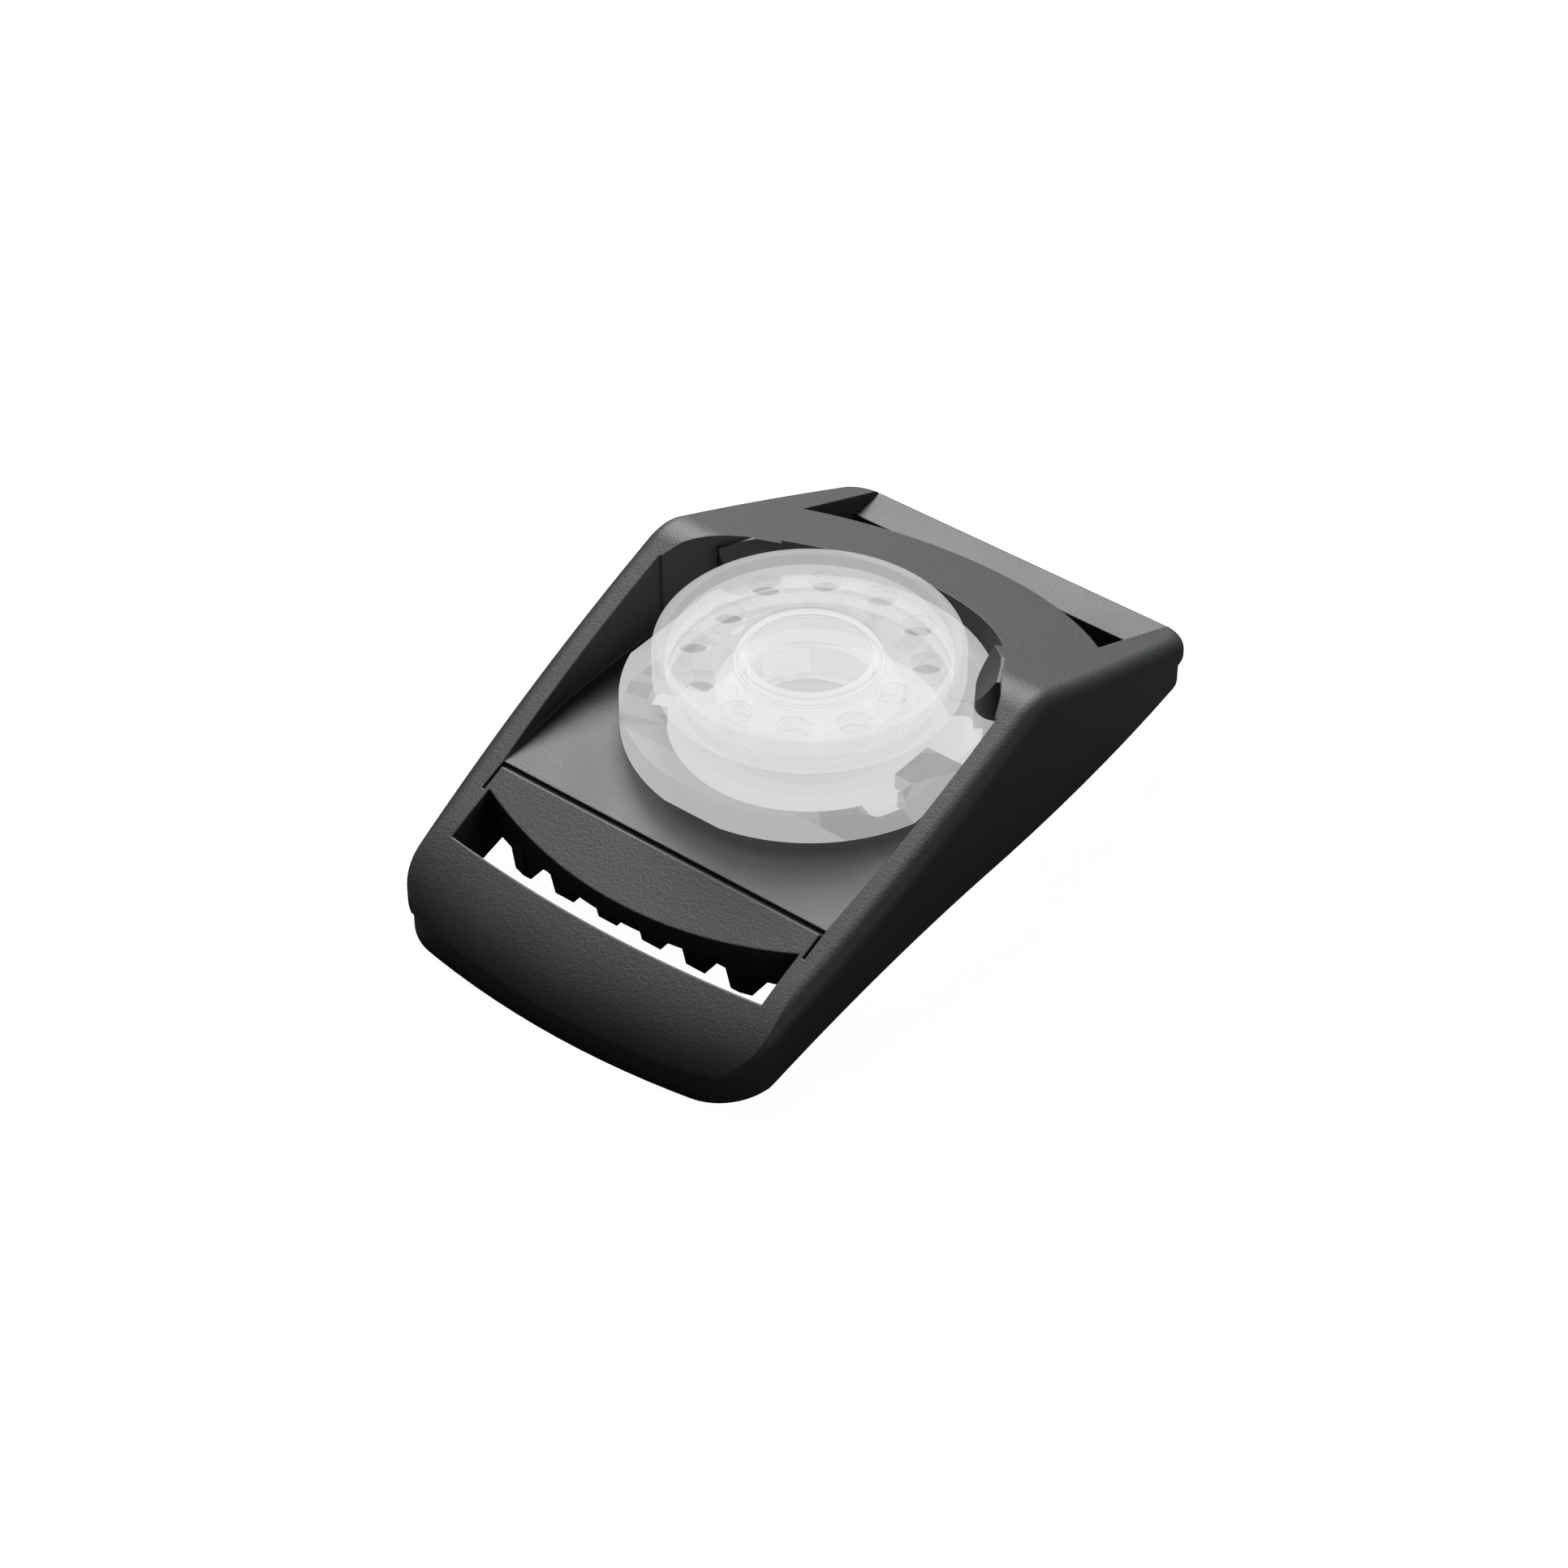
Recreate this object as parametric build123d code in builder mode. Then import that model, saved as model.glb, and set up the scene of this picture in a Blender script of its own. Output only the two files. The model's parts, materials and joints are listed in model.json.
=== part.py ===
"""Magnetic snap buckle for 25 mm webbing: a moulded frame and the round snap puck in its pocket.

Frame of reference, in millimetres: the origin is on the puck's axis at the pocket floor, +X across
the strap, +Y along the strap towards the sewn loop, +Z up out of the pocket.
"""
from build123d import *
import math
import os

# ---------------------------------------------------------------- frame, plan and side view
FRAME_NEAR = 25.0          # where the bowed front edge meets the sides
FRAME_NEAR_MIDDLE = 26.55  # the front edge's furthest point
FRAME_FAR = 23.6
NEAR_HALF_WIDTH = 14.1
FAR_HALF_WIDTH = 14.1
WAIST_HALF_WIDTH = 15.55   # the sides swell to this between the ends
WAIST_Y = -4.0
NEAR_CORNER = 4.6
FAR_CORNER = 2.6

RAIL_RISE = 0.38           # slope of the rails up to the shoulder
RAIL_LEVEL = 5.3           # height of that slope at Y = 0
DECK_FALL = 0.405          # slope of the deck behind the shoulder
DECK_LEVEL = 8.44
SHOULDER_ROUND = 4.0
NOSE_RUN = 6.3             # the front bar curves away over this length
NOSE_DROP = 2.6            # and meets its upright face this far below the corner
FRONT_BOW_R = 64.2         # radius of the front edge's bow
BELLY = -4.1               # flat underside of the far half
FOOT = -8.35               # underside of the front bar
FOOT_BACK = (-22.0, -7.7)
UNDERSIDE_MIDDLE = (-12.0, -5.05)
UNDERSIDE_END = -2.0
EDGE_ROUND = 1.1
LIP_HEIGHT = 2.2
LIP_DEPTH = 0.3

# ---------------------------------------------------------------- channel, pocket and floor
PLATE_END = -15.0
PLATE_END_LEVEL = -0.45
PLATE_FLAT_FROM = -8.0
CHANNEL_NEAR_HALF = 13.0   # half the gap between the rails at the plate's end
CHANNEL_HALF = 13.55
CHANNEL_BLEND_Y = 1.5
POCKET_R = 12.4
FLOOR_THICK = 1.15
FLOOR_HOLE_R = 9.2
NOTCH_WIDTH = 2.6
NOTCH_R = 10.6
NOTCH_CORNER = 0.6
NOTCH_ANGLES = (40, 140, -23, 203)
SIDE_OPENING_R = 11.2      # the hole reaches out past the side tabs
SIDE_OPENING_ANGLES = (12.0, 40.0)
TAB_TIP_X = 7.7
TAB_WIDTH = 3.4
TAB_Y = 0.65

NUB_ANGLE = 33             # from +X; the second nub mirrors it
NUB_TIP_R = 10.6
NUB_UNDER = 2.45
NUB_TOP = 5.6
NUB_WIDTH = 4.4
NUB_CORNER = 1.5

# ---------------------------------------------------------------- near slot, band and tooth bar
SLOT_HALF = 12.5
SLOT_FRONT = -20.7
SLOT_FRONT_MIDDLE = -21.4
BAND_EDGE = -17.0
BAND_EDGE_MIDDLE = -19.5
BAND_THICK = 1.5
GROOVE_DEPTH = 0.3
GROOVE_WIDTH = 0.38
TOOTH_BAR_FACE = -18.3
TOOTH_BAR_BACK = -16.3
TOOTH_ROOT = -4.1          # the teeth hang from here down to the tips
TOOTH_TIP = -5.55
TOOTH_PITCH = 3.55
TOOTH_COUNT = 6
TOOTH_ROOT_WIDTH = 2.3
TOOTH_TIP_WIDTH = 1.5

# ---------------------------------------------------------------- far slot and sewn loop bar
FAR_SLOT_R = 19.2
FAR_SLOT_HALF = 12.1
BAR_INNER = 20.4
BAR_TOP = -1.2

# ---------------------------------------------------------------- underside hollows
HOLLOW_FROM = -2.0
HOLLOW_R = 12.7
LOOP_ROOM_R = 14.2         # the room for the webbing starts behind the pocket wall
LOOP_ROOM_FROM = 8.5
DECK_THICK = 1.6

# ---------------------------------------------------------------- puck
BASE_R = 12.2
BASE_FACET_Y = -12.0
BASE_SIDE_FLAT = 11.5
BASE_BOTTOM = 0.0
BASE_TOP = 2.2
NECK_R = 9.2
NECK_WALL = 0.9
NECK_TOP = 3.1
HEAD_R = 10.05
HEAD_BOTTOM = 3.5
HEAD_TOP = 6.2
HEAD_WALL = 0.85
HEAD_LEAD_IN = 0.4         # bevel under the head that passes over the nubs
PLATE_TOP = 5.4
PLATE_THICK = 1.0
PLATE_HOLE_R = 1.06
PLATE_HOLE_RING_R = 7.5
PLATE_SIDE_HOLE_R = 6.6    # the two holes level with the hub sit further in
PLATE_HOLES = 12
HUB_BORE_R = 3.95
HUB_R = 4.6
BEAD_R = 4.85              # the bead that keeps the head on the tube
BEAD_BOTTOM = 4.6
BEAD_THICK = 0.2
WEB_R = 5.0                # thin floor that closes the tube
WEB_THICK = 0.3
COLLAR_R = 5.72
COLLAR_BOTTOM = -1.0
RUNNING_GAP = 0.06
WASHER_R = 6.1
WASHER_THICK = 0.35
BOSS_R = 6.0
MAGNET_OUTER_R = 8.1
MAGNET_INNER_R = 6.2
MAGNET_BOTTOM = 3.2
POLE_BOTTOM = 2.75
KEEPER_OUTER_R = 12.6
KEEPER_INNER_R = 11.5
KEEPER_THICK = 0.8

os.makedirs("parts", exist_ok=True)


def roof(y):
    """Height of the frame's top surface at y, before the shoulder is rounded."""
    return min(RAIL_LEVEL + RAIL_RISE * y, DECK_LEVEL - DECK_FALL * y)


def bowed_side(sign):
    """One long side of the plan outline, swelling between its ends."""
    return ThreePointArc(
        (sign * NEAR_HALF_WIDTH, -FRAME_NEAR),
        (sign * WAIST_HALF_WIDTH, WAIST_Y),
        (sign * FAR_HALF_WIDTH, FRAME_FAR),
    )


# ================================================================ frame
ridge_y = (DECK_LEVEL - RAIL_LEVEL) / (RAIL_RISE + DECK_FALL)

with BuildPart() as side_block:
    with BuildSketch(Plane.YZ.offset(-20)):
        with BuildLine():
            Polyline(
                (FOOT_BACK[0], FOOT_BACK[1]),
                (-FRAME_NEAR_MIDDLE - 1, FOOT),
                (-FRAME_NEAR_MIDDLE - 1, roof(-FRAME_NEAR_MIDDLE - 1)),
                (ridge_y, roof(ridge_y)),
                (FRAME_FAR + 1, roof(FRAME_FAR + 1)),
                (FRAME_FAR + 1, BELLY),
                (UNDERSIDE_END, BELLY),
            )
            ThreePointArc((UNDERSIDE_END, BELLY), UNDERSIDE_MIDDLE, FOOT_BACK)
        side_face = make_face()
        fillet(side_face.vertices().sort_by(Axis.Y)[-1], SHOULDER_ROUND)
    extrude(amount=40)

with BuildPart() as front_waste:
    # Everything outside the front bar's rounded nose. It turns about an axis square to the rails'
    # slope, so it runs into that slope smoothly all along the bow.
    front_corner = roof(-FRAME_NEAR_MIDDLE)
    with BuildSketch(Plane.YZ):
        with BuildLine():
            start = (-FRAME_NEAR_MIDDLE, front_corner - NOSE_DROP)
            finish = (-FRAME_NEAR_MIDDLE + NOSE_RUN, front_corner + NOSE_RUN * RAIL_RISE)
            Bezier(start, (-FRAME_NEAR_MIDDLE, front_corner), finish)
            Polyline(
                finish,
                (-FRAME_NEAR_MIDDLE - 3, 3),
                (-FRAME_NEAR_MIDDLE - 3, front_corner - NOSE_DROP),
                start,
            )
        make_face()
    slope = math.atan(RAIL_RISE)
    bow_reach = FRONT_BOW_R * math.cos(slope)
    bow_centre = (
        0,
        -FRAME_NEAR_MIDDLE + bow_reach * math.cos(slope),
        front_corner + bow_reach * math.sin(slope),
    )
    bow_axis = Axis(bow_centre, (0, -math.sin(slope), math.cos(slope)))
    revolve(axis=bow_axis, revolution_arc=25)
    mirror(about=Plane.YZ)

with BuildPart() as channel:
    # The space above the pocket floor, between the rails and inside the round pocket.
    with BuildSketch(Plane.XY.offset(-3)):
        with BuildLine():
            Polyline(
                (0, CHANNEL_BLEND_Y),
                (-CHANNEL_HALF, CHANNEL_BLEND_Y),
            )
            ThreePointArc(
                (-CHANNEL_HALF, CHANNEL_BLEND_Y),
                (-CHANNEL_HALF, -5.0),
                (-CHANNEL_NEAR_HALF, PLATE_END),
            )
            Line((-CHANNEL_NEAR_HALF, PLATE_END), (0, PLATE_END))
            Line((0, PLATE_END), (0, CHANNEL_BLEND_Y))
        make_face()
        mirror(about=Plane.YZ)
        Circle(POCKET_R)
        with BuildLine():
            # The shoulder's inner corners open out from the pocket to the wider channel.
            Polyline(
                (0, CHANNEL_BLEND_Y - 1),
                (CHANNEL_HALF, CHANNEL_BLEND_Y - 1),
                (CHANNEL_HALF - 0.15, CHANNEL_BLEND_Y),
                (12.75, 3.0),
                (11.3, 5.1),
                (0, 5.1),
                close=True,
            )
        make_face()
        mirror(about=Plane.YZ)
    extrude(amount=12)
    with BuildSketch(Plane.YZ.offset(-20)):
        with BuildLine():
            Polyline(
                (PLATE_END, PLATE_END_LEVEL),
                (PLATE_FLAT_FROM, 0),
                (FRAME_FAR, 0),
                (FRAME_FAR, 12),
                (PLATE_END, 12),
                close=True,
            )
        make_face()
    extrude(amount=40, mode=Mode.INTERSECT)

with BuildPart() as loop_room:
    # Open from below for the sewn webbing, its ceiling parallel to the deck.
    with BuildSketch(Plane.XY.offset(-9)):
        with Locations((0, LOOP_ROOM_FROM + (BAR_INNER - LOOP_ROOM_FROM) / 2)):
            Rectangle(2 * FAR_SLOT_HALF, BAR_INNER - LOOP_ROOM_FROM)
        Circle(LOOP_ROOM_R, mode=Mode.SUBTRACT)
    extrude(amount=16)
    with BuildSketch(Plane.YZ.offset(-20)):
        with BuildLine():
            Polyline(
                (0, -9),
                (0, DECK_LEVEL - DECK_THICK),
                (FRAME_FAR, DECK_LEVEL - DECK_THICK - DECK_FALL * FRAME_FAR),
                (FRAME_FAR, -9),
                close=True,
            )
        make_face()
    extrude(amount=40, mode=Mode.INTERSECT)

with BuildPart() as far_slot:
    with BuildSketch(Plane.XY.offset(-9)):
        with Locations((0, BAR_INNER / 2)):
            Rectangle(2 * FAR_SLOT_HALF, BAR_INNER)
        Circle(FAR_SLOT_R, mode=Mode.SUBTRACT)
    extrude(amount=18)
    with BuildSketch(Plane.XY.offset(BAR_TOP)):
        with Locations((0, (BAR_INNER + FRAME_FAR) / 2)):
            Rectangle(2 * FAR_SLOT_HALF, FRAME_FAR - BAR_INNER + 0.6)
    extrude(amount=6)

with BuildPart() as near_slot:
    # Down through the slot, then back under the band past the tooth bar.
    with BuildSketch(Plane.XY.offset(-9)):
        with BuildLine():
            ThreePointArc((-SLOT_HALF, SLOT_FRONT), (0, SLOT_FRONT_MIDDLE), (SLOT_HALF, SLOT_FRONT))
            Line((SLOT_HALF, SLOT_FRONT), (SLOT_HALF, BAND_EDGE))
            ThreePointArc((SLOT_HALF, BAND_EDGE), (0, BAND_EDGE_MIDDLE), (-SLOT_HALF, BAND_EDGE))
            Line((-SLOT_HALF, BAND_EDGE), (-SLOT_HALF, SLOT_FRONT))
        make_face()
    extrude(amount=12)
    with BuildSketch(Plane.YZ.offset(-SLOT_HALF)):
        with BuildLine():
            Polyline(
                (SLOT_FRONT, -9),
                (SLOT_FRONT, roof(SLOT_FRONT) - BAND_THICK),
                (TOOTH_BAR_FACE, roof(TOOTH_BAR_FACE) - BAND_THICK),
                (TOOTH_BAR_FACE, TOOTH_TIP),
                (TOOTH_BAR_BACK, TOOTH_TIP),
                (TOOTH_BAR_BACK, roof(TOOTH_BAR_BACK) - BAND_THICK),
                (PLATE_END, PLATE_END_LEVEL - FLOOR_THICK),
                (HOLLOW_FROM, -FLOOR_THICK),
                (HOLLOW_FROM, -9),
                close=True,
            )
        make_face()
    extrude(amount=2 * SLOT_HALF)

with BuildPart() as tooth_gaps:
    # What is left between these gaps are the teeth.
    with BuildSketch(Plane.XZ.offset(-TOOTH_BAR_BACK)):
        with Locations((0, (TOOTH_ROOT + TOOTH_TIP) / 2)):
            Rectangle(2 * SLOT_HALF, TOOTH_ROOT - TOOTH_TIP)
        for index in range(TOOTH_COUNT):
            tooth_x = (index - (TOOTH_COUNT - 1) / 2) * TOOTH_PITCH
            with BuildLine():
                Polyline(
                    (tooth_x - TOOTH_ROOT_WIDTH / 2, TOOTH_ROOT),
                    (tooth_x - TOOTH_TIP_WIDTH / 2, TOOTH_TIP),
                    (tooth_x + TOOTH_TIP_WIDTH / 2, TOOTH_TIP),
                    (tooth_x + TOOTH_ROOT_WIDTH / 2, TOOTH_ROOT),
                    close=True,
                )
            make_face(mode=Mode.SUBTRACT)
    extrude(amount=TOOTH_BAR_BACK - TOOTH_BAR_FACE)

with BuildPart() as floor_hole:
    with BuildSketch(Plane.XY.offset(-6)):
        Circle(FLOOR_HOLE_R)
        for angle in NOTCH_ANGLES:
            with Locations(Location((0, 0, 0), (0, 0, angle))):
                with Locations((NOTCH_R / 2, 0)):
                    RectangleRounded(NOTCH_R, NOTCH_WIDTH, NOTCH_CORNER)
        with BuildLine():
            low, high = (math.radians(v) for v in SIDE_OPENING_ANGLES)
            low_end = (SIDE_OPENING_R * math.cos(low), SIDE_OPENING_R * math.sin(low))
            high_end = (SIDE_OPENING_R * math.cos(high), SIDE_OPENING_R * math.sin(high))
            Polyline(high_end, (0, 0), low_end)
            RadiusArc(low_end, high_end, -SIDE_OPENING_R)
        make_face()
        mirror(about=Plane.YZ)
        with Locations((TAB_TIP_X + 2, TAB_Y), (-TAB_TIP_X - 2, TAB_Y)):
            Rectangle(4, TAB_WIDTH, mode=Mode.SUBTRACT)
    extrude(amount=7)

with BuildPart() as nub_pair:
    with BuildSketch(Plane.XZ):
        with BuildLine():
            Polyline(
                (NUB_TIP_R, NUB_UNDER),
                (POCKET_R + 0.8, NUB_UNDER),
                (POCKET_R + 0.8, NUB_TOP),
                (POCKET_R - 0.25, NUB_TOP),
                (NUB_TIP_R, NUB_UNDER + 0.45),
                close=True,
            )
        make_face()
    revolve(axis=Axis.Z)
    with BuildSketch(Plane.XY):
        for angle in (NUB_ANGLE, 180 - NUB_ANGLE):
            with Locations(Location((0, 0, 0), (0, 0, angle))):
                with Locations((NUB_TIP_R + 4, 0)):
                    RectangleRounded(8, NUB_WIDTH, NUB_CORNER)
    extrude(amount=10, mode=Mode.INTERSECT)
    add(side_block.part, mode=Mode.INTERSECT)

with BuildPart() as grooves:
    with BuildSketch(Plane.YZ.offset(-CHANNEL_NEAR_HALF)):
        with Locations((PLATE_END - GROOVE_WIDTH / 2, PLATE_END_LEVEL)):
            Rectangle(GROOVE_WIDTH, 2 * GROOVE_DEPTH)
    extrude(amount=2 * CHANNEL_NEAR_HALF)
    groove_slope = Plane(
        origin=(0, PLATE_END, roof(PLATE_END)),
        x_dir=(1, 0, 0),
        z_dir=(0, -RAIL_RISE, 1),
    )
    with BuildSketch(groove_slope):
        with Locations((CHANNEL_NEAR_HALF - 0.1, -1.2), (-CHANNEL_NEAR_HALF + 0.1, -1.2)):
            Rectangle(0.2, 2.2)
    extrude(amount=GROOVE_DEPTH, both=True)

with BuildPart() as outline:
    with BuildSketch(Plane.XY.offset(FOOT - 1)) as plan:
        with BuildLine():
            bowed_side(1)
            Line((FAR_HALF_WIDTH, FRAME_FAR), (-FAR_HALF_WIDTH, FRAME_FAR))
            bowed_side(-1)
            ThreePointArc(
                (-NEAR_HALF_WIDTH, -FRAME_NEAR),
                (0, -FRAME_NEAR_MIDDLE),
                (NEAR_HALF_WIDTH, -FRAME_NEAR),
            )
        make_face()
        fillet(plan.vertices().group_by(Axis.Y)[0], NEAR_CORNER)
        fillet(plan.vertices().group_by(Axis.Y)[-1], FAR_CORNER)
    extrude(amount=20)

with BuildPart() as lip_waste:
    # The bottom edge is set in all round by a shallow step.
    with BuildSketch(Plane.XY.offset(FOOT - 1)):
        Rectangle(60, 80)
        offset(plan.sketch, amount=-LIP_DEPTH, mode=Mode.SUBTRACT)
    extrude(amount=20)
    with BuildSketch(Plane.YZ.offset(-20)):
        with BuildLine():
            Polyline(
                (FOOT_BACK[0], FOOT_BACK[1] + LIP_HEIGHT),
                (-FRAME_NEAR_MIDDLE - 1, FOOT + LIP_HEIGHT),
                (-FRAME_NEAR_MIDDLE - 1, FOOT - 2),
                (FRAME_FAR + 1, FOOT - 2),
                (FRAME_FAR + 1, BELLY + LIP_HEIGHT),
                (UNDERSIDE_END, BELLY + LIP_HEIGHT),
            )
            ThreePointArc(
                (UNDERSIDE_END, BELLY + LIP_HEIGHT),
                (UNDERSIDE_MIDDLE[0], UNDERSIDE_MIDDLE[1] + LIP_HEIGHT),
                (FOOT_BACK[0], FOOT_BACK[1] + LIP_HEIGHT),
            )
        make_face()
    extrude(amount=40, mode=Mode.INTERSECT)

with BuildPart() as frame:
    add(outline.part)
    add(side_block.part, mode=Mode.INTERSECT)
    rim = frame.edges().filter_by(
        lambda e: abs(e.position_at(0.5).Z - roof(e.position_at(0.5).Y)) < 0.75
        and (abs(e.position_at(0.5).X) > 5 or abs(e.position_at(0.5).Y) > 20)
    )
    rim = rim.filter_by(lambda e: abs(e.tangent_at(0.5).Z) < 0.9)
    fillet(rim, EDGE_ROUND)
    add(front_waste.part, mode=Mode.SUBTRACT)
    add(lip_waste.part, mode=Mode.SUBTRACT)
    add(channel.part, mode=Mode.SUBTRACT)
    with BuildSketch(Plane.XY.offset(-9)):
        Circle(HOLLOW_R)
    extrude(amount=9 - FLOOR_THICK, mode=Mode.SUBTRACT)
    add(loop_room.part, mode=Mode.SUBTRACT)
    add(far_slot.part, mode=Mode.SUBTRACT)
    add(near_slot.part, mode=Mode.SUBTRACT)
    add(tooth_gaps.part, mode=Mode.SUBTRACT)
    add(floor_hole.part, mode=Mode.SUBTRACT)
    add(grooves.part, mode=Mode.SUBTRACT)
    add(nub_pair.part)

frame.part.label = "frame"
export_step(frame.part, "parts/frame.step")

# ================================================================ what is fixed under the floor
with BuildPart() as keeper_ring:
    with BuildSketch(Plane.XY.offset(-FLOOR_THICK - KEEPER_THICK)):
        Circle(KEEPER_OUTER_R)
        Circle(KEEPER_INNER_R, mode=Mode.SUBTRACT)
    extrude(amount=KEEPER_THICK)

keeper_ring.part.label = "keeper_ring"
export_step(keeper_ring.part, "parts/keeper_ring.step")

# ================================================================ puck, the half that slides
with BuildPart() as puck_flange:
    with BuildSketch(Plane.XY.offset(BASE_BOTTOM)):
        Circle(BASE_R)
        with Locations((0, BASE_FACET_Y - 5)):
            Rectangle(20, 10, mode=Mode.SUBTRACT)
        with Locations((BASE_SIDE_FLAT + 5, 0), (-BASE_SIDE_FLAT - 5, 0)):
            Rectangle(10, 20, mode=Mode.SUBTRACT)
        Circle(HUB_R, mode=Mode.SUBTRACT)
    extrude(amount=BASE_TOP - BASE_BOTTOM)
    with BuildSketch(Plane.XY.offset(BASE_TOP)):
        Circle(NECK_R)
        Circle(NECK_R - NECK_WALL, mode=Mode.SUBTRACT)
    extrude(amount=NECK_TOP - BASE_TOP)
    with BuildSketch(Plane.XY.offset(-WEB_THICK)):
        Circle(WEB_R)
    extrude(amount=WEB_THICK)

puck_flange.part.label = "puck_flange"
export_step(puck_flange.part, "parts/puck_flange.step")

with BuildPart() as hub_collar:
    with BuildSketch(Plane.XY.offset(COLLAR_BOTTOM)):
        Circle(COLLAR_R)
        Circle(WEB_R, mode=Mode.SUBTRACT)
    extrude(amount=BASE_BOTTOM - COLLAR_BOTTOM)
    chamfer(hub_collar.faces().sort_by(Axis.Z)[0].outer_wire().edges(), 0.15)

hub_collar.part.label = "hub_collar"
export_step(hub_collar.part, "parts/hub_collar.step")

with BuildPart() as hub_tube:
    with BuildSketch(Plane.XY.offset(BASE_BOTTOM)):
        Circle(HUB_R)
    extrude(amount=PLATE_TOP - BASE_BOTTOM)
    fillet(hub_tube.edges().group_by(Axis.Z)[-1], 0.12)
    with BuildSketch(Plane.XY.offset(BEAD_BOTTOM)):
        Circle(BEAD_R)
    extrude(amount=BEAD_THICK)
    with BuildSketch(Plane.XY.offset(BASE_BOTTOM)):
        Circle(HUB_BORE_R)
    extrude(amount=PLATE_TOP - BASE_BOTTOM, mode=Mode.SUBTRACT)

hub_tube.part.label = "hub_tube"
export_step(hub_tube.part, "parts/hub_tube.step")

with BuildPart() as thrust_washer:
    with BuildSketch(Plane.XY.offset(BASE_TOP)):
        Circle(WASHER_R)
        Circle(HUB_R, mode=Mode.SUBTRACT)
    extrude(amount=WASHER_THICK)

thrust_washer.part.label = "thrust_washer"
export_step(thrust_washer.part, "parts/thrust_washer.step")

# ================================================================ puck, the half that turns
with BuildPart() as head_plate:
    with BuildSketch(Plane.XY.offset(PLATE_TOP - PLATE_THICK)):
        Circle(HEAD_R - HEAD_WALL)
        Circle(HUB_R + RUNNING_GAP, mode=Mode.SUBTRACT)
    extrude(amount=PLATE_THICK)
    with BuildSketch(Plane.XY.offset(BASE_TOP + WASHER_THICK + RUNNING_GAP)):
        Circle(BOSS_R)
        Circle(HUB_R + RUNNING_GAP, mode=Mode.SUBTRACT)
    extrude(amount=PLATE_TOP - PLATE_THICK - BASE_TOP - WASHER_THICK - RUNNING_GAP)
    with BuildSketch(Plane.XY.offset(PLATE_TOP)):
        for index in range(PLATE_HOLES):
            turn = index * 360 / PLATE_HOLES
            reach = PLATE_SIDE_HOLE_R if index in (0, PLATE_HOLES // 2) else PLATE_HOLE_RING_R
            with Locations((reach * math.cos(math.radians(turn)), reach * math.sin(math.radians(turn)))):
                Circle(PLATE_HOLE_R)
    extrude(amount=-PLATE_THICK, mode=Mode.SUBTRACT)
    with BuildSketch(Plane.XY.offset(BEAD_BOTTOM - RUNNING_GAP)):
        Circle(BEAD_R + RUNNING_GAP)
    extrude(amount=BEAD_THICK + 2 * RUNNING_GAP, mode=Mode.SUBTRACT)

head_plate.part.label = "head_plate"
export_step(head_plate.part, "parts/head_plate.step")

with BuildPart() as head_cap:
    with BuildSketch(Plane.XY.offset(HEAD_BOTTOM)):
        Circle(HEAD_R)
        Circle(HEAD_R - HEAD_WALL, mode=Mode.SUBTRACT)
    extrude(amount=HEAD_TOP - HEAD_BOTTOM)
    fillet(head_cap.faces().sort_by(Axis.Z)[-1].outer_wire().edges(), 0.35)
    chamfer(head_cap.faces().sort_by(Axis.Z)[0].outer_wire().edges(), HEAD_LEAD_IN)

head_cap.part.label = "head_cap"
export_step(head_cap.part, "parts/head_cap.step")

with BuildPart() as ring_magnet:
    with BuildSketch(Plane.XY.offset(MAGNET_BOTTOM)):
        Circle(MAGNET_OUTER_R)
        Circle(MAGNET_INNER_R, mode=Mode.SUBTRACT)
    extrude(amount=PLATE_TOP - PLATE_THICK - MAGNET_BOTTOM)

ring_magnet.part.label = "ring_magnet"
export_step(ring_magnet.part, "parts/ring_magnet.step")

with BuildPart() as pole_plate:
    with BuildSketch(Plane.XY.offset(POLE_BOTTOM)):
        Circle(MAGNET_OUTER_R)
        Circle(MAGNET_INNER_R, mode=Mode.SUBTRACT)
    extrude(amount=MAGNET_BOTTOM - POLE_BOTTOM)

pole_plate.part.label = "pole_plate"
export_step(pole_plate.part, "parts/pole_plate.step")
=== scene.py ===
"""Looks of a magnetic snap buckle for 25 mm webbing.

Finishes, studio and camera, built round the CAD frame.
"""

import json
import logging
import math
from dataclasses import dataclass, field
from enum import Enum
from typing import Optional

import bpy
from mathutils import Matrix, Vector


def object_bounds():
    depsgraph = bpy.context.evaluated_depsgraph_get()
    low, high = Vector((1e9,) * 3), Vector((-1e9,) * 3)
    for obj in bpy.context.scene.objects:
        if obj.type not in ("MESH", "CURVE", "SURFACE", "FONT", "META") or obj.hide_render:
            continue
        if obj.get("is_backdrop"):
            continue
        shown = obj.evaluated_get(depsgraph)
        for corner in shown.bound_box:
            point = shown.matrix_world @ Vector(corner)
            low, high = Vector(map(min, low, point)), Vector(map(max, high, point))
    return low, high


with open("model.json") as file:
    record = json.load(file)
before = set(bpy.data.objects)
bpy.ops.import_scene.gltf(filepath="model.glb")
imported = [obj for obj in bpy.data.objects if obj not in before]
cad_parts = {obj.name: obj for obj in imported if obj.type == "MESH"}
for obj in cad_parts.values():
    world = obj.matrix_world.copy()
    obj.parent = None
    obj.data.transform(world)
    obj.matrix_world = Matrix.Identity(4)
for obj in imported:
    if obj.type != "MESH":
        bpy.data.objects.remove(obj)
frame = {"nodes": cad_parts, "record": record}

LOG = logging.getLogger("snap_buckle")
MM = 0.001

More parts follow.
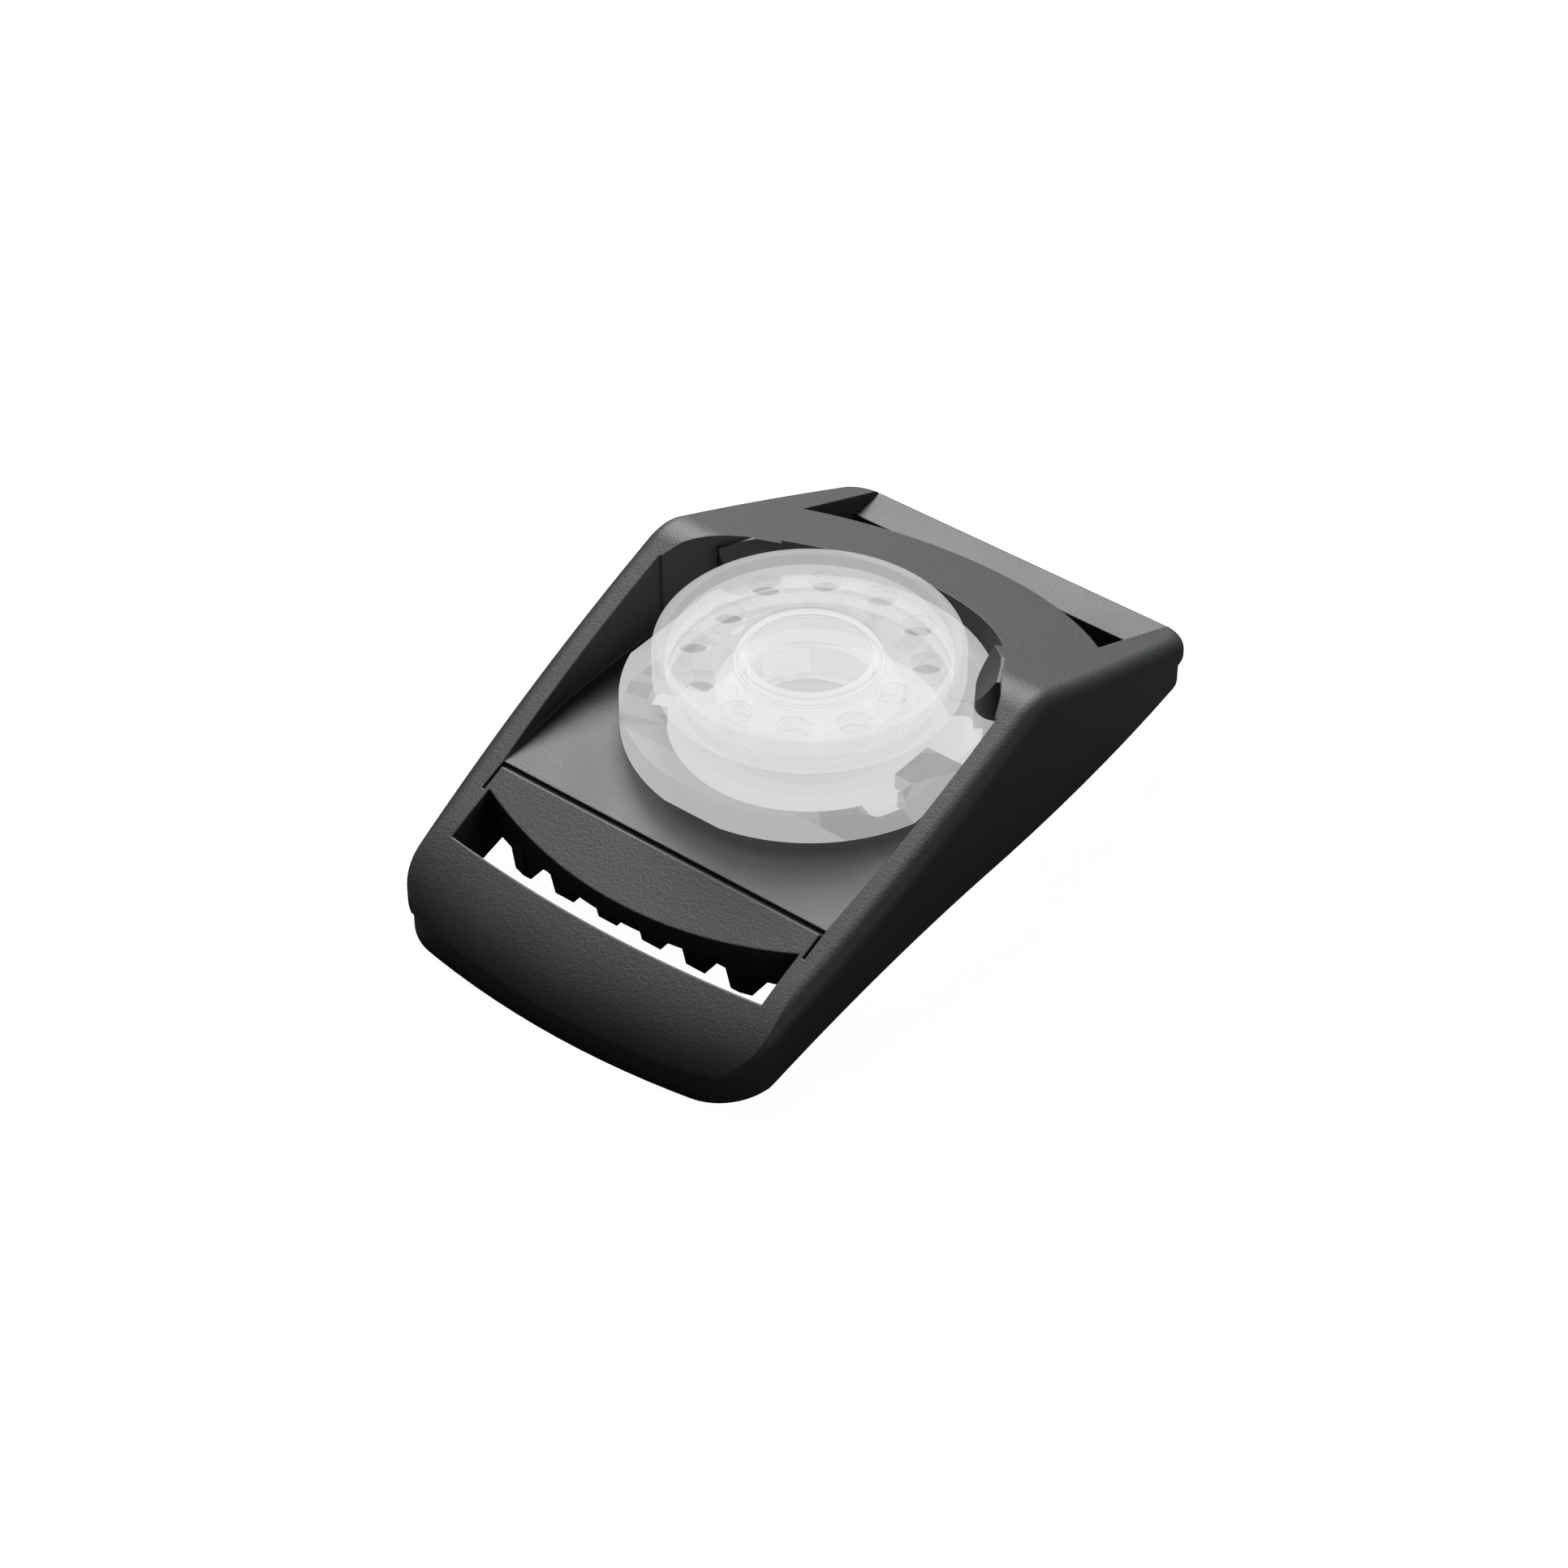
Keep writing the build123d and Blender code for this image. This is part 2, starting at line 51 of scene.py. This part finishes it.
TONE_LOW = 0.86                # darkest and lightest drift of the nylon's own colour
TONE_HIGH = 1.14
WAVE_SHARE = 0.25              # the soft unevenness's part in the grain's height
PIT_SCALE = 5200.0             # mould pits, per metre
WAVE_SCALE = 160.0
STEEL_PIT_SCALE = 2600.0
STEEL_GRAIN_DEPTH = 0.000008
STEEL_ROUGHNESS_SWING = 0.1
EDGE_SAMPLES = 6
EDGE_GAIN = 3.0
CLEAR_EDGE_GAIN = 6.0
CLEAR_SPECULAR = 0.03
CLEAR_WAVE_SCALE = 90.0
CLEAR_ROUGHNESS_SWING = 0.04
CLEAR_EDGE_SHADE = 0.5          # a clear edge's colour against its face's: painted shade darkening the edge lines
CLEAR_BODY = (0.012, 0.012, 0.012)


class Slot(Enum):
    """The record's material slots, which each finish is checked against."""

    FRAME = "frame_nylon"
    CLEAR = "puck_clear"
    INSERT = "puck_insert"
    STEEL = "keeper_steel"


def socket(group: bpy.types.NodeTree, name: str, kind: str, value: Optional[float] = None) -> None:
    """Add an input to a node group.

    Args:
        group: The node group.
        name: The input's name.
        kind: Its socket type.
        value: Its default, where it has one.
    """
    made = group.interface.new_socket(name, in_out="INPUT", socket_type=kind)
    if value is not None:
        made.default_value = value


def outlet(group: bpy.types.NodeTree, name: str, kind: str) -> None:
    """Add an output to a node group.

    Args:
        group: The node group.
        name: The output's name.
        kind: Its socket type.
    """
    group.interface.new_socket(name, in_out="OUTPUT", socket_type=kind)


class Effects:
    """Node groups shared by the finishes, each built once."""

    def __init__(self) -> None:
        """Start with no group built."""
        self._made: dict[str, bpy.types.NodeTree] = {}

    def moulded_grain(self) -> bpy.types.NodeTree:
        """Spark-eroded mould texture: fine pits over a soft unevenness.

        Returns:
            The group, with Height and Tone outputs.
        """
        if "grain" in self._made:
            return self._made["grain"]
        group = bpy.data.node_groups.new("moulded_grain", "ShaderNodeTree")
        socket(group, "Pit Scale", "NodeSocketFloat", PIT_SCALE)
        socket(group, "Wave Scale", "NodeSocketFloat", WAVE_SCALE)
        outlet(group, "Height", "NodeSocketFloat")
        outlet(group, "Tone", "NodeSocketFloat")
        nodes, links = group.nodes, group.links
        given = nodes.new("NodeGroupInput")
        result = nodes.new("NodeGroupOutput")
        place = nodes.new("ShaderNodeTexCoord")
        pits = nodes.new("ShaderNodeTexNoise")
        pits.inputs["Detail"].default_value = 3.0
        pits.inputs["Roughness"].default_value = 0.6
        waves = nodes.new("ShaderNodeTexNoise")
        waves.inputs["Detail"].default_value = 4.0
        links.new(place.outputs["Object"], pits.inputs["Vector"])
        links.new(place.outputs["Object"], waves.inputs["Vector"])
        links.new(given.outputs["Pit Scale"], pits.inputs["Scale"])
        links.new(given.outputs["Wave Scale"], waves.inputs["Scale"])
        mix = nodes.new("ShaderNodeMath")
        mix.operation = "MULTIPLY_ADD"
        mix.inputs[1].default_value = WAVE_SHARE
        links.new(waves.outputs["Fac"], mix.inputs[0])
        links.new(pits.outputs["Fac"], mix.inputs[2])
        links.new(mix.outputs[0], result.inputs["Height"])
        links.new(waves.outputs["Fac"], result.inputs["Tone"])
        self._made["grain"] = group
        return group

    def soft_edges(self) -> bpy.types.NodeTree:
        """The small radius of a moulded edge, as a rounded normal and a mask of where it is.

        Returns:
            The group, with Normal and Edge outputs.
        """
        if "edges" in self._made:
            return self._made["edges"]
        group = bpy.data.node_groups.new("soft_edges", "ShaderNodeTree")
        socket(group, "Radius", "NodeSocketFloat", 0.0002)
        socket(group, "Gain", "NodeSocketFloat", EDGE_GAIN)
        outlet(group, "Normal", "NodeSocketVector")
        outlet(group, "Edge", "NodeSocketFloat")
        nodes, links = group.nodes, group.links
        given = nodes.new("NodeGroupInput")
        result = nodes.new("NodeGroupOutput")
        bevel = nodes.new("ShaderNodeBevel")
        bevel.samples = EDGE_SAMPLES
        surface = nodes.new("ShaderNodeNewGeometry")
        dot = nodes.new("ShaderNodeVectorMath")
        dot.operation = "DOT_PRODUCT"
        away = nodes.new("ShaderNodeMath")
        away.operation = "SUBTRACT"
        away.inputs[0].default_value = 1.0
        gain = nodes.new("ShaderNodeMath")
        gain.operation = "MULTIPLY"
        gain.use_clamp = True
        links.new(given.outputs["Radius"], bevel.inputs["Radius"])
        links.new(bevel.outputs["Normal"], dot.inputs[0])
        links.new(surface.outputs["Normal"], dot.inputs[1])
        links.new(dot.outputs["Value"], away.inputs[1])
        links.new(away.outputs[0], gain.inputs[0])
        links.new(given.outputs["Gain"], gain.inputs[1])
        links.new(bevel.outputs["Normal"], result.inputs["Normal"])
        links.new(gain.outputs[0], result.inputs["Edge"])
        self._made["edges"] = group
        return group


@dataclass(frozen=True)
class MouldedNylon:
    """Dark grey glass-filled nylon with a fine eroded grain and a painted highlight along its
    edges.
    """

    name: str
    colour: tuple[float, float, float]
    # lighter colour painted along the edges: a painted highlight
    edge_highlight_colour: tuple[float, float, float]
    roughness: float
    roughness_swing: float
    grain_depth: float
    edge_radius: float

    def build(self, effects: Effects) -> bpy.types.Material:
        """Make the material.

        Args:
            effects: The shared node groups.

        Returns:
            The finished material.
        """
        material = bpy.data.materials.new(self.name)
        material.use_nodes = True
        nodes, links = material.node_tree.nodes, material.node_tree.links
        shader = nodes["Principled BSDF"]
        shader.inputs["Specular IOR Level"].default_value = 0.5
        grain = nodes.new("ShaderNodeGroup")
        grain.node_tree = effects.moulded_grain()
        edges = nodes.new("ShaderNodeGroup")
        edges.node_tree = effects.soft_edges()
        edges.inputs["Radius"].default_value = self.edge_radius
        tone = nodes.new("ShaderNodeMix")
        tone.data_type = "RGBA"
        tone.inputs["A"].default_value = (*(TONE_LOW * c for c in self.colour), 1)
        tone.inputs["B"].default_value = (*(TONE_HIGH * c for c in self.colour), 1)
        links.new(grain.outputs["Tone"], tone.inputs["Factor"])
        # Painted highlight: the edge mask lightens the colour towards the edge highlight colour.
        painted_edge_highlight = nodes.new("ShaderNodeMix")
        painted_edge_highlight.data_type = "RGBA"
        painted_edge_highlight.inputs["B"].default_value = (*self.edge_highlight_colour, 1)
        links.new(edges.outputs["Edge"], painted_edge_highlight.inputs["Factor"])
        links.new(tone.outputs["Result"], painted_edge_highlight.inputs["A"])
        links.new(painted_edge_highlight.outputs["Result"], shader.inputs["Base Color"])
        rough = nodes.new("ShaderNodeMapRange")
        rough.inputs["To Min"].default_value = self.roughness - self.roughness_swing
        rough.inputs["To Max"].default_value = self.roughness + self.roughness_swing
        links.new(grain.outputs["Tone"], rough.inputs["Value"])
        links.new(rough.outputs["Result"], shader.inputs["Roughness"])
        bump = nodes.new("ShaderNodeBump")
        bump.inputs["Strength"].default_value = 1.0
        bump.inputs["Distance"].default_value = self.grain_depth
        links.new(grain.outputs["Height"], bump.inputs["Height"])
        links.new(edges.outputs["Normal"], bump.inputs["Normal"])
        links.new(bump.outputs["Normal"], shader.inputs["Normal"])
        return material


@dataclass(frozen=True)
class ClearPolymer:
    """Milky clear moulded plastic, seen through from one wall to the next, each wall with a
    painted glow in place of its lighting.
    """

    name: str
    slot: Slot
    body_colour: tuple[float, float, float]
    # painted glow: the flat grey a face emits in place of being lit
    painted_glow: float
    # painted glow on the edge lines, mostly below the face's, painting dark shade lines on the
    # rims
    line_painted_glow: float
    alpha: float
    line_alpha: float
    roughness: float = 0.3
    line_radius: float = 0.00007

    def build(self, effects: Effects) -> bpy.types.Material:
        """Make the material.

        Args:
            effects: The shared node groups.

        Returns:
            The finished material.
        """
        material = bpy.data.materials.new(self.name)
        material.use_nodes = True
        nodes, links = material.node_tree.nodes, material.node_tree.links
        shader = nodes["Principled BSDF"]
        shader.inputs["Specular IOR Level"].default_value = CLEAR_SPECULAR
        # Painted glow: the walls emit their grey at full strength.
        shader.inputs["Emission Strength"].default_value = 1.0
        edges = nodes.new("ShaderNodeGroup")
        edges.node_tree = effects.soft_edges()
        edges.inputs["Radius"].default_value = self.line_radius
        edges.inputs["Gain"].default_value = CLEAR_EDGE_GAIN
        grain = nodes.new("ShaderNodeGroup")
        grain.node_tree = effects.moulded_grain()
        grain.inputs["Wave Scale"].default_value = CLEAR_WAVE_SCALE
        # Painted shade: the body colour darkens along the edge lines.
        painted_edge_shade = nodes.new("ShaderNodeMix")
        painted_edge_shade.data_type = "RGBA"
        painted_edge_shade.inputs["A"].default_value = (*self.body_colour, 1)
        painted_edge_shade.inputs["B"].default_value = (*(CLEAR_EDGE_SHADE * c for c in self.body_colour), 1)
        links.new(edges.outputs["Edge"], painted_edge_shade.inputs["Factor"])
        links.new(painted_edge_shade.outputs["Result"], shader.inputs["Base Color"])
        # Painted glow: the emitted grey moves from the face's level to the edge lines' level along
        # the edges.
        painted_glow = nodes.new("ShaderNodeMix")
        painted_glow.data_type = "RGBA"
        painted_glow.inputs["A"].default_value = (*[self.painted_glow] * 3, 1)
        painted_glow.inputs["B"].default_value = (*[self.line_painted_glow] * 3, 1)
        links.new(edges.outputs["Edge"], painted_glow.inputs["Factor"])
        links.new(painted_glow.outputs["Result"], shader.inputs["Emission Color"])
        cover = nodes.new("ShaderNodeMapRange")
        cover.inputs["To Min"].default_value = self.alpha
        cover.inputs["To Max"].default_value = self.line_alpha
        links.new(edges.outputs["Edge"], cover.inputs["Value"])
        links.new(cover.outputs["Result"], shader.inputs["Alpha"])
        rough = nodes.new("ShaderNodeMapRange")
        rough.inputs["To Min"].default_value = self.roughness - CLEAR_ROUGHNESS_SWING
        rough.inputs["To Max"].default_value = self.roughness + CLEAR_ROUGHNESS_SWING
        links.new(grain.outputs["Tone"], rough.inputs["Value"])
        links.new(rough.outputs["Result"], shader.inputs["Roughness"])
        return material


@dataclass(frozen=True)
class PunchedSteel:
    """Plain punched steel with a faint pitted grain."""

    name: str
    colour: tuple[float, float, float]
    roughness: float

    def build(self, effects: Effects) -> bpy.types.Material:
        """Make the material.

        Args:
            effects: The shared node groups.

        Returns:
            The finished material.
        """
        material = bpy.data.materials.new(self.name)
        material.use_nodes = True
        nodes, links = material.node_tree.nodes, material.node_tree.links
        shader = nodes["Principled BSDF"]
        shader.inputs["Metallic"].default_value = 1.0
        shader.inputs["Base Color"].default_value = (*self.colour, 1)
        grain = nodes.new("ShaderNodeGroup")
        grain.node_tree = effects.moulded_grain()
        grain.inputs["Pit Scale"].default_value = STEEL_PIT_SCALE
        rough = nodes.new("ShaderNodeMapRange")
        rough.inputs["To Min"].default_value = self.roughness - STEEL_ROUGHNESS_SWING
        rough.inputs["To Max"].default_value = self.roughness + STEEL_ROUGHNESS_SWING
        links.new(grain.outputs["Height"], rough.inputs["Value"])
        links.new(rough.outputs["Result"], shader.inputs["Roughness"])
        bump = nodes.new("ShaderNodeBump")
        bump.inputs["Distance"].default_value = STEEL_GRAIN_DEPTH
        links.new(grain.outputs["Height"], bump.inputs["Height"])
        links.new(bump.outputs["Normal"], shader.inputs["Normal"])
        return material


def dress_node(name: str, material: bpy.types.Material, slot: Slot) -> None:
    """Give a CAD node its finish.

    Args:
        name: The CAD node.
        material: Its finish.
        slot: The record's slot that the finish stands for.

    Raises:
        ValueError: The record puts the node in another slot.
    """
    recorded = {entry["node"]: entry["material_slot"] for entry in frame["record"]["subparts"]}
    if recorded[name] != slot.value:
        raise ValueError(f"{name} is in slot {recorded[name]}, not {slot.value}")
    piece = frame["nodes"][name]
    piece.data.materials.clear()
    piece.data.materials.append(material)
    LOG.info("dressed %s in %s", name, material.name)


@dataclass
class BuckleFrame:
    """The moulded frame and the steel ring under its pocket floor."""

    nylon: MouldedNylon = MouldedNylon(
        name="frame_nylon",
        colour=(0.0150, 0.0180, 0.0185),
        # painted highlight colour along the edges
        edge_highlight_colour=(0.044, 0.048, 0.049),
        roughness=0.57,
        roughness_swing=0.05,
        grain_depth=0.000030,
        edge_radius=0.00018,
    )
    steel: PunchedSteel = PunchedSteel(
        name="keeper_steel",
        colour=(0.45, 0.45, 0.46),
        roughness=0.42,
    )

    def dress(self, effects: Effects) -> None:
        """Finish the frame's nodes.

        Args:
            effects: The shared node groups.
        """
        dress_node("frame", self.nylon.build(effects), Slot.FRAME)
        dress_node("keeper_ring", self.steel.build(effects), Slot.STEEL)


@dataclass
class SnapPuck:
    """The clear puck: the half that slides and the half that turns."""

    # The grades are copies of one clear plastic whose painted glow differs per part, a painted
    # lighter or darker shade for each part.
    base: ClearPolymer = ClearPolymer(
        name="puck_base_clear",
        slot=Slot.CLEAR,
        body_colour=CLEAR_BODY,
        painted_glow=0.56,
        line_painted_glow=0.62,
        alpha=0.55,
        line_alpha=0.60,
    )
    hub: ClearPolymer = ClearPolymer(
        name="puck_hub_clear",
        slot=Slot.CLEAR,
        body_colour=CLEAR_BODY,
        painted_glow=0.81,
        line_painted_glow=0.24,
        alpha=0.36,
        line_alpha=0.62,
        line_radius=0.00008,
    )
    head: ClearPolymer = ClearPolymer(
        name="puck_head_clear",
        slot=Slot.CLEAR,
        body_colour=CLEAR_BODY,
        painted_glow=0.74,
        line_painted_glow=0.50,
        alpha=0.34,
        line_alpha=0.36,
        line_radius=0.00006,
    )
    plate: ClearPolymer = ClearPolymer(
        name="puck_plate_clear",
        slot=Slot.CLEAR,
        body_colour=CLEAR_BODY,
        painted_glow=0.80,
        line_painted_glow=0.22,
        alpha=0.26,
        line_alpha=0.60,
        line_radius=0.00006,
    )
    insert: ClearPolymer = ClearPolymer(
        name="puck_insert_clear",
        slot=Slot.INSERT,
        body_colour=CLEAR_BODY,
        painted_glow=0.72,
        line_painted_glow=0.66,
        alpha=0.05,
        line_alpha=0.07,
    )

    def dress(self, effects: Effects) -> None:
        """Finish the puck's nodes.

        Args:
            effects: The shared node groups.
        """
        grades = {
            self.base: ("puck_flange",),
            self.hub: ("hub_tube", "hub_collar", "thrust_washer"),
            self.head: ("head_cap",),
            self.plate: ("head_plate",),
            self.insert: ("ring_magnet", "pole_plate"),
        }
        for grade, names in grades.items():
            material = grade.build(effects)
            for name in names:
                dress_node(name, material, grade.slot)


@dataclass(frozen=True)
class SoftBox:
    """One rectangular studio light aimed at the buckle."""

    name: str
    azimuth: float
    elevation: float
    distance: float
    width: float
    height: float
    power: float

    def build(self, target: Vector) -> None:
        """Hang the light.

        Args:
            target: The point it is aimed at.
        """
        data = bpy.data.lights.new(self.name, "AREA")
        data.shape = "RECTANGLE"
        data.size = self.width
        data.size_y = self.height
        data.energy = self.power
        lamp = bpy.data.objects.new(self.name, data)
        bpy.context.scene.collection.objects.link(lamp)
        a, e = math.radians(self.azimuth), math.radians(self.elevation)
        out = Vector((math.sin(a) * math.cos(e), -math.cos(a) * math.cos(e), math.sin(e)))
        lamp.location = target + out * self.distance
        lamp.rotation_euler = out.to_track_quat("Z", "Y").to_euler()
        LOG.info("hung %s", self.name)


@dataclass
class Studio:
    """Pale floor, soft light and the camera."""

    azimuth: float = 38.17
    elevation: float = 40.5
    lens: float = 98.76
    distance: float = 273.2 * MM
    shift_right: float = -1.624 * MM
    shift_up: float = -8.345 * MM
    pivot: Vector = field(default_factory=lambda: Vector((0, 0, 5.4 * MM)))
    floor_size: float = 3.0
    boxes: tuple[SoftBox, ...] = (
        SoftBox(
            "back_softbox",
            azimuth=218,
            elevation=40,
            distance=0.60,
            width=0.26,
            height=0.18,
            power=5.4,
        ),
        SoftBox(
            "side_softbox",
            azimuth=238,
            elevation=60,
            distance=0.60,
            width=0.30,
            height=0.24,
            power=2.3,
        ),
        SoftBox(
            "right_fill",
            azimuth=98,
            elevation=22,
            distance=0.7,
            width=0.4,
            height=0.4,
            power=0.95,
        ),
    )
    floor_gap: float = 0.05 * MM
    floor_base: float = 0.06
    floor_roughness: float = 0.9
    floor_glow: float = 0.98
    room_glow: float = 0.085
    seen_glow: float = 1.0
    sensor_width: float = 36.0
    clip_start: float = 0.01

    def build_floor(self, low: float) -> None:
        """Lay the floor under the buckle.

        Args:
            low: The height of the buckle's lowest point.
        """
        half = self.floor_size / 2
        mesh = bpy.data.meshes.new("floor")
        corners = [(-half, -half, 0), (half, -half, 0), (half, half, 0), (-half, half, 0)]
        mesh.from_pydata(corners, [], [(0, 1, 2, 3)])
        floor = bpy.data.objects.new("floor", mesh)
        bpy.context.scene.collection.objects.link(floor)
        floor.location.z = low - self.floor_gap
        material = bpy.data.materials.new("floor_pale")
        material.use_nodes = True
        nodes, links = material.node_tree.nodes, material.node_tree.links
        shader = nodes["Principled BSDF"]
        shader.inputs["Base Color"].default_value = (*[self.floor_base] * 3, 1)
        shader.inputs["Roughness"].default_value = self.floor_roughness
        shader.inputs["Emission Color"].default_value = (1, 1, 1, 1)
        path = nodes.new("ShaderNodeLightPath")
        glow = nodes.new("ShaderNodeMath")
        glow.operation = "MULTIPLY"
        glow.inputs[1].default_value = self.floor_glow
        links.new(path.outputs["Is Camera Ray"], glow.inputs[0])
        links.new(glow.outputs[0], shader.inputs["Emission Strength"])
        mesh.materials.append(material)
        floor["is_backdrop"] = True
        LOG.info("laid the floor")

    def build_light(self) -> None:
        """Hang the soft boxes and set the room's own glow."""
        for box in self.boxes:
            box.build(self.pivot)
        world = bpy.data.worlds.new("room")
        bpy.context.scene.world = world
        world.use_nodes = True
        nodes, links = world.node_tree.nodes, world.node_tree.links
        background = nodes["Background"]
        path = nodes.new("ShaderNodeLightPath")
        strength = nodes.new("ShaderNodeMapRange")
        strength.inputs["To Min"].default_value = self.room_glow
        strength.inputs["To Max"].default_value = self.seen_glow
        links.new(path.outputs["Is Camera Ray"], strength.inputs["Value"])
        links.new(strength.outputs["Result"], background.inputs["Strength"])
        background.inputs["Color"].default_value = (1, 1, 1, 1)

    def build_camera(self) -> None:
        """Place the camera."""
        a, e = math.radians(self.azimuth), math.radians(self.elevation)
        right = Vector((math.cos(a), math.sin(a), 0))
        ahead = Vector((-math.sin(a) * math.cos(e), math.cos(a) * math.cos(e), -math.sin(e)))
        up = Vector((-math.sin(a) * math.sin(e), math.cos(a) * math.sin(e), math.cos(e)))
        spot = self.pivot + right * self.shift_right + up * self.shift_up - ahead * self.distance
        data = bpy.data.cameras.new("camera")
        data.lens = self.lens
        data.sensor_width = self.sensor_width
        data.clip_start = self.clip_start
        camera = bpy.data.objects.new("camera", data)
        bpy.context.scene.collection.objects.link(camera)
        turn = Matrix((right, up, -ahead)).transposed().to_4x4()
        camera.matrix_world = Matrix.Translation(spot) @ turn
        bpy.context.scene.camera = camera
        LOG.info("placed the camera")


def plain_box() -> list[list[float]]:
    """The whole object's box as plain lists.

    Returns:
        The low and the high corner.
    """
    return [[float(v) for v in corner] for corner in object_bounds()]


def main() -> None:
    """Build the looks in order."""
    logging.basicConfig(level=logging.INFO, format="%(message)s")
    cad_box = plain_box()
    effects = Effects()
    BuckleFrame().dress(effects)
    SnapPuck().dress(effects)
    studio = Studio()
    studio.build_floor(cad_box[0][2])
    studio.build_light()
    studio.build_camera()
    bpy.context.scene.view_settings.view_transform = "Standard"


if __name__ == "__main__":
    main()
